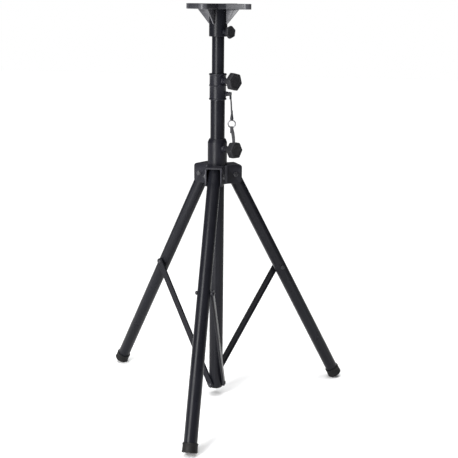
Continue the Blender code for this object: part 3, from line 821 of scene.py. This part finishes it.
def build_hub():
    body = "hub"
    lip = TUBE_R + GAP
    bore = SLEEVE_LINER_R + GAP
    ceiling = SLEEVE_TOP - CASTING_WALL
    profile = [
        (SLEEVE_R - 0.0045, SLEEVE_TOP), (SLEEVE_R, SLEEVE_TOP - 0.010),
        (SLEEVE_R, HUB_LOW + 0.001), (SLEEVE_R - 0.001, HUB_LOW), (bore, HUB_LOW),
        (bore, ceiling), (lip, ceiling), (lip, SLEEVE_TOP),
    ]
    turned("hub_barrel", profile, UPRIGHT, body, "coated_casting", ["hub_sleeve"], 0.0012, 80)
    turned("hub_liner", pipe_profile(SLEEVE_LINER_R, lip, HUB_LOW + 0.002, ceiling - GAP),
           UPRIGHT, body, "nylon", ["sleeve_bush"], 0.0003, 64)
    boss = [(0.0085, 0.0400), (0.0090, 0.0390), (0.0090, 0.0310), (0.0108, SLEEVE_R - 0.0015),
            (0.0044, SLEEVE_R - 0.0015), (0.0044, 0.0400)]
    turned("hub_knob_boss", boss, radial_frame(*LOWER_KNOB), body, "coated_casting",
           ["lower_knob_boss"], 0.0007, 40)
    for number, azimuth in enumerate(LEG_STATIONS, 1):
        build_channel(number, azimuth)
        build_web(number, azimuth + LEG_STATIONS[1] / 2)
        build_hub_bolt(number, azimuth)


def build_channel(number, azimuth):
    """Folded steel channel: round-cornered cheeks and a top that meets them on a bend."""
    here = station(azimuth)
    outline = [(0.015, HUB_LOW), (0.062, HUB_LOW), (0.069, 0.678), (0.069, 0.721),
               (0.063, HUB_TOP), (0.015, HUB_TOP)]
    on_side = here @ Matrix.Rotation(pi / 2, 4, "X")
    work = prism(rounded(outline, 0.003, steps=4), -CHANNEL_HALF, CHANNEL_HALF)
    below, above = 0.650, 0.750
    inner, ceiling = CHANNEL_HALF - CASTING_WALL, HUB_TOP - CASTING_WALL
    hollow = [(-inner, below), (inner, below), (inner, ceiling), (-inner, ceiling)]
    end_on = here @ Matrix(((0, 0, 1, 0), (1, 0, 0, 0), (0, 1, 0, 0), (0, 0, 0, 1)))
    hollow = prism_cutter(rounded(hollow, 0.003), -0.01, 0.080, end_on)
    bore = round_cutter(SLEEVE_R - 0.0004, below, above, here, 80)
    pivot = here @ Matrix.Translation((HUB_PIVOT_R, 0, HUB_PIVOT_Z)) @ SIDEWAYS
    hole = round_cutter(HUB_BOLT_R + GAP, -0.040, 0.040, pivot, 32)
    piece(f"hub_channel_{number}", work, on_side, "hub", "coated_casting",
          [f"leg_channel_{number}"], 40, [bevel(0.0011, 3)] + cut_by(hollow, bore, hole))


def build_web(number, azimuth):
    """Filled corner between two channels."""
    spread, side, tip = radians(11.2), 0.034, 0.0352
    corners = [(0.0280, 0), (side * cos(spread), -side * sin(spread)), (tip, 0),
               (side * cos(spread), side * sin(spread))]
    height = (HUB_TOP - HUB_LOW) / 2 - 0.001
    middle = Matrix.Translation((0, 0, (HUB_LOW + HUB_TOP) / 2))
    piece(f"hub_corner_{number}", prism(corners, -height, height), station(azimuth) @ middle,
          "hub", "coated_casting", [f"hub_web_{number}"])


def build_hub_bolt(number, azimuth):
    """Hexagon bolt with a pressed washer, and its lock nut with a collar."""
    here = station(azimuth) @ Matrix.Translation((HUB_PIVOT_R, 0, HUB_PIVOT_Z)) @ SIDEWAYS
    face = CHANNEL_HALF + GAP
    washer, tip = 0.0075, 0.0325
    shank = [(0, face + 0.0010), (washer, face + 0.0010), (washer, face), (HUB_BOLT_R, face),
             (HUB_BOLT_R, -tip + 0.001), (HUB_BOLT_R - 0.0006, -tip), (0, -tip)]
    turned(f"hub_bolt_shank_{number}", shank, here, "hub", "black_hardware",
           [f"hub_bolt_{number}"], 0.0004, 32, False)
    head = [(0.0, face + 0.0011), (0.0, face + 0.0042), (0.0008, face + 0.0050)]
    lofted(f"hub_bolt_head_{number}", hexagon(HUB_BOLT_ACROSS), head, here, "hub",
           "black_hardware", (), 0.0004)
    nut = [(0.0, -face), (0.0, -face - 0.0038), (0.0008, -face - 0.0044),
           (0.0018, -face - 0.0050)]
    lofted(f"hub_lock_nut_{number}", hexagon(HUB_BOLT_ACROSS), nut, here, "hub",
           "black_hardware", [f"hub_nut_{number}"], 0.0004)


# ---------------------------------------------------------------- legs and braces

def build_leg(number, azimuth):
    """Leg pipe cut clear of the sleeve, its rubber boot and the cross bolt at its brace."""
    body = f"leg_{number}"
    here = leg_frame(azimuth)
    notch = round_cutter(SLEEVE_R + 0.0010, 0.600, 0.800, station(azimuth), 96)
    pivot = round_cutter(HUB_BOLT_R + GAP, -0.03, 0.03, here @ SIDEWAYS, 32)
    tube = pipe_profile(LEG_R, LEG_R - LEG_PIPE_WALL, 0.006 - FOOT_END, 0.015)
    turned(f"leg_pipe_{number}", tube, here, body, "coated_tube", [f"leg_tube_{number}"],
           0.0004, 80, modifiers=cut_by(notch, pivot))
    low = -FOOT_END
    rim = low + FOOT_LENGTH
    boot = [(0, low + 0.0055), (LEG_R + GAP, low + 0.0055), (LEG_R + GAP, rim),
            (FOOT_R - 0.0008, rim), (FOOT_R, rim - 0.0016), (FOOT_R, rim - 0.0042),
            (FOOT_R - 0.0010, rim - 0.0056), (FOOT_R - 0.0004, low + 0.0070),
            (FOOT_R, low + 0.0050), (FOOT_R, low + 0.0022), (FOOT_R - FOOT_CHAMFER, low),
            (0, low)]
    turned(f"leg_boot_{number}", boot, here, body, "foot_rubber", [f"leg_foot_{number}"],
           0.0010, 64, False)
    on_leg = here @ Matrix.Translation((0, 0, -BRACE_ON_LEG)) @ SIDEWAYS
    bolt, cap, face = 0.0030, 0.0058, -LEG_R
    nut = [(0, LEG_R), (bolt, LEG_R), (bolt, face - 0.0004), (cap, face - 0.0004),
           (cap, face - 0.0034), (0.0048, face - 0.0052), (0.0022, face - 0.0062),
           (0, face - 0.0062)]
    turned(f"leg_cap_nut_{number}", nut, on_leg, body, "black_hardware", [f"leg_bolt_{number}"],
           0.0008, 32, False)


def build_brace(number, azimuth):
    """Pressed tray-section bar with round ends and a turned-up rim, and its upper rivet."""
    body = f"brace_{number}"
    here = brace_frame(azimuth)
    length = brace_length()
    flat = here @ Matrix.Rotation(-pi / 2, 4, "Y") @ Matrix.Rotation(pi / 2, 4, "X")
    web = -(BRACE_OUT - BRACE_SKIN)
    profile = [(BRACE_SKIN, web), (BRACE_SKIN, -BRACE_IN), (0.0, -BRACE_IN), (0.0, -BRACE_OUT),
               (0.0022, -BRACE_OUT)]

    def outline(inset):
        return stadium(0, length, BRACE_HALF - inset, 15)

    holes = []
    for end in (0, length):
        matrix = here @ Matrix.Translation((0, 0, end)) @ SIDEWAYS
        holes.append(round_cutter(0.0033, 0.015, 0.035, matrix, 24))
    lofted(f"brace_bar_{number}", outline, profile, flat, body, "coated_tube",
           [f"brace_{number}"], 0.0011, cut_by(*holes))
    top = here @ Matrix.Translation((0, 0, length)) @ SIDEWAYS
    brace_pin(f"brace_top_rivet_{number}", LEG_R + 0.0006, top, body, f"brace_rivet_{number}")


# ---------------------------------------------------------------- mast and top plate

def build_mast():
    """Inner tube with a row of pin holes, and the slider ring on its lower end."""
    body = "mast"
    holes = [round_cutter(0.0040, 0.010, 0.025, radial_frame(PIN_STATION, PIN_Z - 0.1 * k), 28)
             for k in range(4)]
    turned("mast_tube", pipe_profile(MAST_R, MAST_R - MAST_WALL, 0.200, 1.166), UPRIGHT, body,
           "coated_tube", ["inner_tube"], 0.0004, 80, modifiers=cut_by(*holes))
    slider = pipe_profile(TUBE_R - TUBE_WALL - GAP, MAST_R + GAP, 0.205, 0.235)
    turned("mast_slider", slider, UPRIGHT, body, "nylon", ["slider_ring"], 0.0003, 64)


def cross_outline(inset):
    """Cross of four round-ended arms that widen to their roots."""
    half = ARM_HALF - inset
    root = half + ARM_TAPER
    corner = ARM_HALF + 0.018 - inset * (sqrt(2) - 1)
    tip = arc(ARM_REACH - ARM_HALF, 0, half, -pi / 2, pi / 2, 17)
    quarter = [(corner, -root)] + tip + [(corner, root)]
    points = []
    for k in range(4):
        points += turn_points(quarter, k * pi / 2)
    return points


def build_head():
    body = "head"
    bore, ceiling = SOCKET_LINER_R + GAP, PLATE_CEILING - GAP
    # The second point keeps the wear of the lower edge from spreading up the socket.
    socket = [(SOCKET_R, ceiling), (SOCKET_R, SOCKET_LOW + 0.004), (SOCKET_R, SOCKET_LOW),
              (bore, SOCKET_LOW), (bore, ceiling)]
    turned("head_socket", socket, UPRIGHT, body, "coated_tube", ["plate_socket"], 0.0007, 80)
    liner = pipe_profile(SOCKET_LINER_R, MAST_R + GAP, SOCKET_LOW + 0.001, 1.165)
    turned("head_liner", liner, UPRIGHT, body, "nylon", ["socket_bush"], 0.0003, 64)
    boss = [(0.0062, 0.0352), (0.0065, 0.0346), (0.0068, 0.0285), (0.0080, SOCKET_R - 0.0010),
            (0.0034, SOCKET_R - 0.0010), (0.0034, 0.0352)]
    turned("head_knob_boss", boss, radial_frame(*TOP_KNOB), body, "coated_tube",
           ["top_knob_boss"], 0.0005, 36)
    profile = [(0.0030, PLATE_CEILING), (0.0030, PLATE_LOW), (0.0, PLATE_LOW), (0.0, PLATE_TOP),
               (0.0035, PLATE_TOP)]
    slot = stadium(0.056, 0.086, 0.004, 11)
    slots = [prism_cutter(slot, 1.16, 1.20, station(azimuth)) for azimuth in ARM_STATIONS]
    plate = lofted("head_plate", cross_outline, profile, station(ARM_STATION), body,
                   "coated_casting", ["top_plate"], 0.0014, cut_by(*slots), smooth_angle=34)
    # Painted light: the plate takes the lighter copy of the casting's coat, with painted edge
    # highlights.
    plate.data.materials[0] = LOOKS["plate"]
    for number, azimuth in enumerate(ARM_STATIONS, 1):
        build_rib(number, azimuth)


def build_rib(number, azimuth):
    """Gusset under an arm of the plate, from the socket outwards."""
    near = SOCKET_R - 0.0005
    ceiling = PLATE_CEILING - GAP
    outline = [(near, 1.130), (near + 0.004, 1.130), (0.066, PLATE_LOW), (0.066, ceiling - 0.004),
               (0.052, ceiling - 0.004), (0.052, ceiling), (near, ceiling)]
    on_side = station(azimuth) @ Matrix.Rotation(pi / 2, 4, "X")
    work = prism(rounded(outline, 0.0025), -0.002, 0.002)
    rib = piece(f"head_rib_{number}", work, on_side, "head", "coated_casting",
                [f"plate_rib_{number}"], 40, [bevel(0.0008, 2)])
    # Painted light: the rib takes the same lighter copy of the casting's coat.
    rib.data.materials[0] = LOOKS["plate"]


# ---------------------------------------------------------------- knobs and pin

def hexagonal_grip(apothem, lean):
    """Hexagon with round corners that can be drawn in, its flats square to local X at no lean."""
    corner = 0.0035

    def outline(inset):
        near = max(0.001, corner - inset * 0.45)
        reach = (apothem - inset - near) / cos(pi / 6)
        points = []
        for k in range(6):
            turn = lean + pi / 6 + pi / 3 * k
            centre = (reach * cos(turn), reach * sin(turn))
            points += arc(*centre, near, turn - pi / 6, turn + pi / 6, 7)
        return points
    return outline


def build_knob(name, at, start, neck, grip_size, stud_r, stud_start, lean):
    """Moulded clamping knob: scooped back, crowned rim, dished front and a threaded stud.

    The neck and the grip are given as a radius and a length, outwards from the start.
    """
    matrix = radial_frame(*at)
    neck_r, neck_length = neck
    apothem, thickness = grip_size
    face = start + neck_length
    front = face + thickness
    edge = min(0.0016, thickness * 0.12)
    # Inset from the rim against the distance outwards, from the back round to the front.
    profile = [
        (apothem * 0.55, face + 0.0008), (apothem * 0.20, face + 0.0004), (edge, face),
        (0.0, face + edge * 1.4), (0.0, front - edge * 2.2), (edge, front - edge * 0.4),
        (apothem * 0.16, front), (apothem * 0.34, front), (apothem * 0.40, front - 0.0011),
        (apothem * 0.58, front - 0.0008),
    ]
    lofted(f"{name}_cap", hexagonal_grip(apothem, lean), profile, matrix, name, "knob_plastic",
           [f"{name}_grip"], 0.0012, steps=4, smooth_angle=45)
    ring = [(0, face + 0.0030), (neck_r, face + 0.0030), (neck_r, face + 0.0002),
            (neck_r * 0.94, face - neck_length * 0.5), (neck_r * 0.97, start), (0, start)]
    turned(f"{name}_neck", ring, matrix, name, "knob_plastic", (), 0.0007, 40, False)
    chamfer, pitch, depth = 0.0006, 0.00125, 0.0005
    stud = [(0, stud_start), (stud_r - chamfer, stud_start), (stud_r, stud_start + chamfer)]
    z = stud_start + 2 * chamfer
    while z < start - chamfer:
        stud += [(stud_r, z), (stud_r - depth, z + pitch / 2)]
        z += pitch
    stud += [(stud_r, start + 0.0004), (0, start + 0.0004)]
    turned(f"{name}_thread", stud, matrix, name, "zinc_hardware", [f"{name}_stud"], 0.0001, 28,
           False)


def build_knobs():
    build_knob("upper_knob", UPPER_KNOB, 0.0358, (0.0085, 0.0197), (0.0232, 0.0180), 0.004, 0.0250,
               radians(-13))
    build_knob("lower_knob", LOWER_KNOB, 0.0403, (0.0085, 0.0186), (0.0220, 0.0210), 0.004, 0.0290,
               radians(-2))
    build_knob("top_knob", TOP_KNOB, 0.0355, (0.0065, 0.0075), (0.0160, 0.0105), 0.003, 0.0265,
               radians(20))


def build_pin():
    """Plated locking pin with a grooved grip."""
    profile = [
        (0, 0.0406), (0.0052, 0.0406), (0.0060, 0.0398), (0.0060, 0.0382), (0.0050, 0.0378),
        (0.0050, 0.0368), (0.0060, 0.0364), (0.0060, 0.0344), (0.0050, 0.0340), (0.0050, 0.0330),
        (0.0060, 0.0326), (0.0060, 0.0306), (0.0056, 0.0303), (0.0030, 0.0303), (0.0030, 0.0190),
        (0.0022, 0.0182), (0, 0.0182),
    ]
    turned("locking_pin", profile, radial_frame(PIN_STATION, PIN_Z), "safety_pin", "black_hardware",
           ["safety_pin"], 0.0005, 40, False)


# ---------------------------------------------------------------- studio

def backdrop_paint():
    """Matt pale paint, very slightly uneven."""
    pale = (0.93, 0.93, 0.93)
    s = Shader("studio_floor", pale, 0.9, 0.0, 0.2)
    shade = s.ramp(s.noise(3, 3), [(0.3, tuple(c * 0.99 for c in pale)), (0.7, pale)])
    return s.link(colour=shade)


def build_studio():
    """Pale floor, one softbox, light from overhead, and a world that is white to the camera."""
    work = bmesh.new()
    bmesh.ops.create_grid(work, x_segments=1, y_segments=1, size=12)
    mesh = bpy.data.meshes.new("studio_floor")
    work.to_mesh(mesh)
    work.free()
    floor = bpy.data.objects.new("studio_floor", mesh)
    floor.location = (0, 0, -0.0005)
    bpy.context.scene.collection.objects.link(floor)
    mesh.materials.append(backdrop_paint())
    softbox("key", place=(-1.05, -2.00, 1.25), aim=(0, 0.10, 0.70), width=0.85, height=2.6,
            power=120)
    sun = bpy.data.lights.new("overhead", "SUN")
    sun.energy = 3.4
    sun.angle = radians(60)
    above = bpy.data.objects.new("overhead", sun)
    bpy.context.scene.collection.objects.link(above)
    world = bpy.data.worlds.new("studio")
    bpy.context.scene.world = world
    world.use_nodes = True
    tree = world.node_tree
    background = tree.nodes["Background"]
    path = tree.nodes.new("ShaderNodeLightPath")
    mix = tree.nodes.new("ShaderNodeMix")
    mix.data_type = "FLOAT"
    tree.links.new(path.outputs["Is Camera Ray"], mix.inputs["Factor"])
    mix.inputs["A"].default_value = 0.08     # fill light on the stand
    mix.inputs["B"].default_value = 1.0      # backdrop
    background.inputs["Color"].default_value = (1, 1, 1, 1)
    tree.links.new(mix.outputs["Result"], background.inputs["Strength"])
    bpy.context.scene.view_settings.view_transform = "Standard"


def softbox(name, place, aim, width, height, power):
    data = bpy.data.lights.new(name, "AREA")
    data.shape = "RECTANGLE"
    data.size = width
    data.size_y = height
    data.energy = power
    light = bpy.data.objects.new(name, data)
    bpy.context.scene.collection.objects.link(light)
    light.location = place
    light.rotation_euler = (Vector(aim) - Vector(place)).to_track_quat("-Z", "Y").to_euler()


build_cord()
build_strap()
build_pole()
build_hub()
for leg_number, leg_azimuth in enumerate(LEG_STATIONS, 1):
    build_leg(leg_number, leg_azimuth)
    build_brace(leg_number, leg_azimuth)
build_mast()
build_head()
build_knobs()
build_pin()
build_studio()

# Any CAD node that still shows takes its slot's material.
slots = {entry["node"]: entry["material_slot"] for entry in frame["record"]["subparts"]}
for node_name, node in frame["nodes"].items():
    node.data.materials.clear()
    node.data.materials.append(LOOKS[slots[node_name]])
